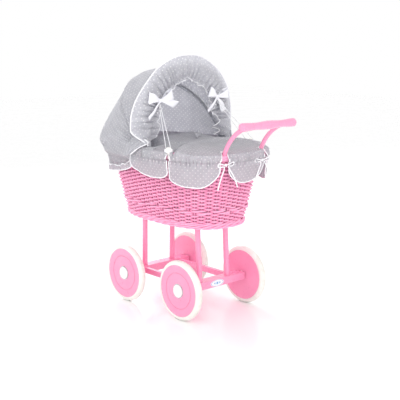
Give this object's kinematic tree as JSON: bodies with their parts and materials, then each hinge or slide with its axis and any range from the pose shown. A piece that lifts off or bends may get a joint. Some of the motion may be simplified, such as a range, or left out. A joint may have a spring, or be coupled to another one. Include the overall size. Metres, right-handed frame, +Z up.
{
  "type": "doll stroller",
  "caption": "Wicker doll pram on a wooden chassis with free-spinning wheels, a turned push handle, a folding cloth hood with a gathered brim, and dotted bedding.",
  "frame": {"origin": "on the floor, under the middle of the whole pram", "axes": "+Z up, +Y towards the hood end, +X to the pram's right as seen from the handle"},
  "size_m": [0.33, 0.5503, 0.6443],
  "materials": {
    "pink_paint": "pink gloss paint on wood",
    "wicker": "pink paint on woven willow",
    "tyre": "matt cream rubber",
    "white_plastic": "glossy white",
    "knob_white": "white gloss paint on wood",
    "steel": "zinc plated",
    "label": "glossy sticker with a plain pattern",
    "dotted_cloth": "light grey cotton with small white dots and white binding",
    "white_trim": "white cotton cord and elastic",
    "satin_ribbon": "white satin ribbon"
  },
  "bodies": {
    "root": {"axle_beam_front": "pink_paint", "axle_beam_rear": "pink_paint", "side_rail_left": "pink_paint", "side_rail_right": "pink_paint", "leg_front_left": "pink_paint", "leg_front_right": "pink_paint", "leg_rear_left": "pink_paint", "leg_rear_right": "pink_paint", "frame_screws": "steel", "wheel_bolts": "steel", "wheel_spacers": "white_plastic", "label_plate": "label", "basket_base": "wicker", "basket_foot_border": "wicker", "basket_wall": "wicker", "basket_rim": "wicker", "handle_arm_left": "pink_paint", "handle_arm_right": "pink_paint", "handle_grip": "pink_paint", "knob_left": "knob_white", "knob_right": "knob_white", "liner": "dotted_cloth", "mattress": "dotted_cloth", "pillow": "dotted_cloth", "duvet": "dotted_cloth", "valance_left_front": "dotted_cloth", "valance_left_rear": "dotted_cloth", "valance_rear": "dotted_cloth", "valance_right_rear": "dotted_cloth", "valance_right_front": "dotted_cloth", "arm_tie_left": "white_trim", "arm_tie_right": "white_trim", "hood_brackets": "steel", "hood_back_panel": "dotted_cloth", "hood_hem": "dotted_cloth"},
    "rear_hoop": {"rear_hoop": "steel"},
    "front_hoop": {"front_hoop": "steel", "hood_brim": "dotted_cloth", "bow_left": "satin_ribbon", "bow_right": "satin_ribbon", "elastic_left": "white_trim", "elastic_right": "white_trim", "hood_middle_panel": "dotted_cloth"},
    "wheel_front_left": {"wheel_disc_front_left": "pink_paint", "tyre_front_left": "tyre", "hub_cap_front_left": "white_plastic", "hub_clip_front_left": "steel"},
    "wheel_front_right": {"wheel_disc_front_right": "pink_paint", "tyre_front_right": "tyre", "hub_cap_front_right": "white_plastic", "hub_clip_front_right": "steel"},
    "wheel_rear_left": {"wheel_disc_rear_left": "pink_paint", "tyre_rear_left": "tyre", "hub_cap_rear_left": "white_plastic", "hub_clip_rear_left": "steel"},
    "wheel_rear_right": {"wheel_disc_rear_right": "pink_paint", "tyre_rear_right": "tyre", "hub_cap_rear_right": "white_plastic", "hub_clip_rear_right": "steel"}
  },
  "joints": [
    {"name": "front_left_wheel_spin", "type": "hinge", "parent": "root", "child": "wheel_front_left", "pos_m": [-0.10925, 0.1335, 0.075], "axis": [1, 0, 0], "continuous": true},
    {"name": "front_right_wheel_spin", "type": "hinge", "parent": "root", "child": "wheel_front_right", "pos_m": [0.10925, 0.1335, 0.075], "axis": [1, 0, 0], "continuous": true},
    {"name": "rear_left_wheel_spin", "type": "hinge", "parent": "root", "child": "wheel_rear_left", "pos_m": [-0.10925, -0.0835, 0.075], "axis": [1, 0, 0], "continuous": true},
    {"name": "rear_right_wheel_spin", "type": "hinge", "parent": "root", "child": "wheel_rear_right", "pos_m": [0.10925, -0.0835, 0.075], "axis": [1, 0, 0], "continuous": true},
    {"name": "hood_rear_fold", "type": "hinge", "parent": "root", "child": "rear_hoop", "pos_m": [0, 0.03, 0.424], "axis": [-1, 0, 0], "range_deg": [0, 38], "deforming": ["hood_back_panel"]},
    {"name": "hood_front_fold", "type": "hinge", "parent": "rear_hoop", "child": "front_hoop", "pos_m": [0, 0.03, 0.424], "axis": [-1, 0, 0], "range_deg": [0, 40], "deforming": ["hood_middle_panel", "elastic_left", "elastic_right"]}
  ],
  "couplings": [
    {"joint": "hood_front_fold", "follows": "hood_rear_fold", "ratio": 1.0526}
  ]
}
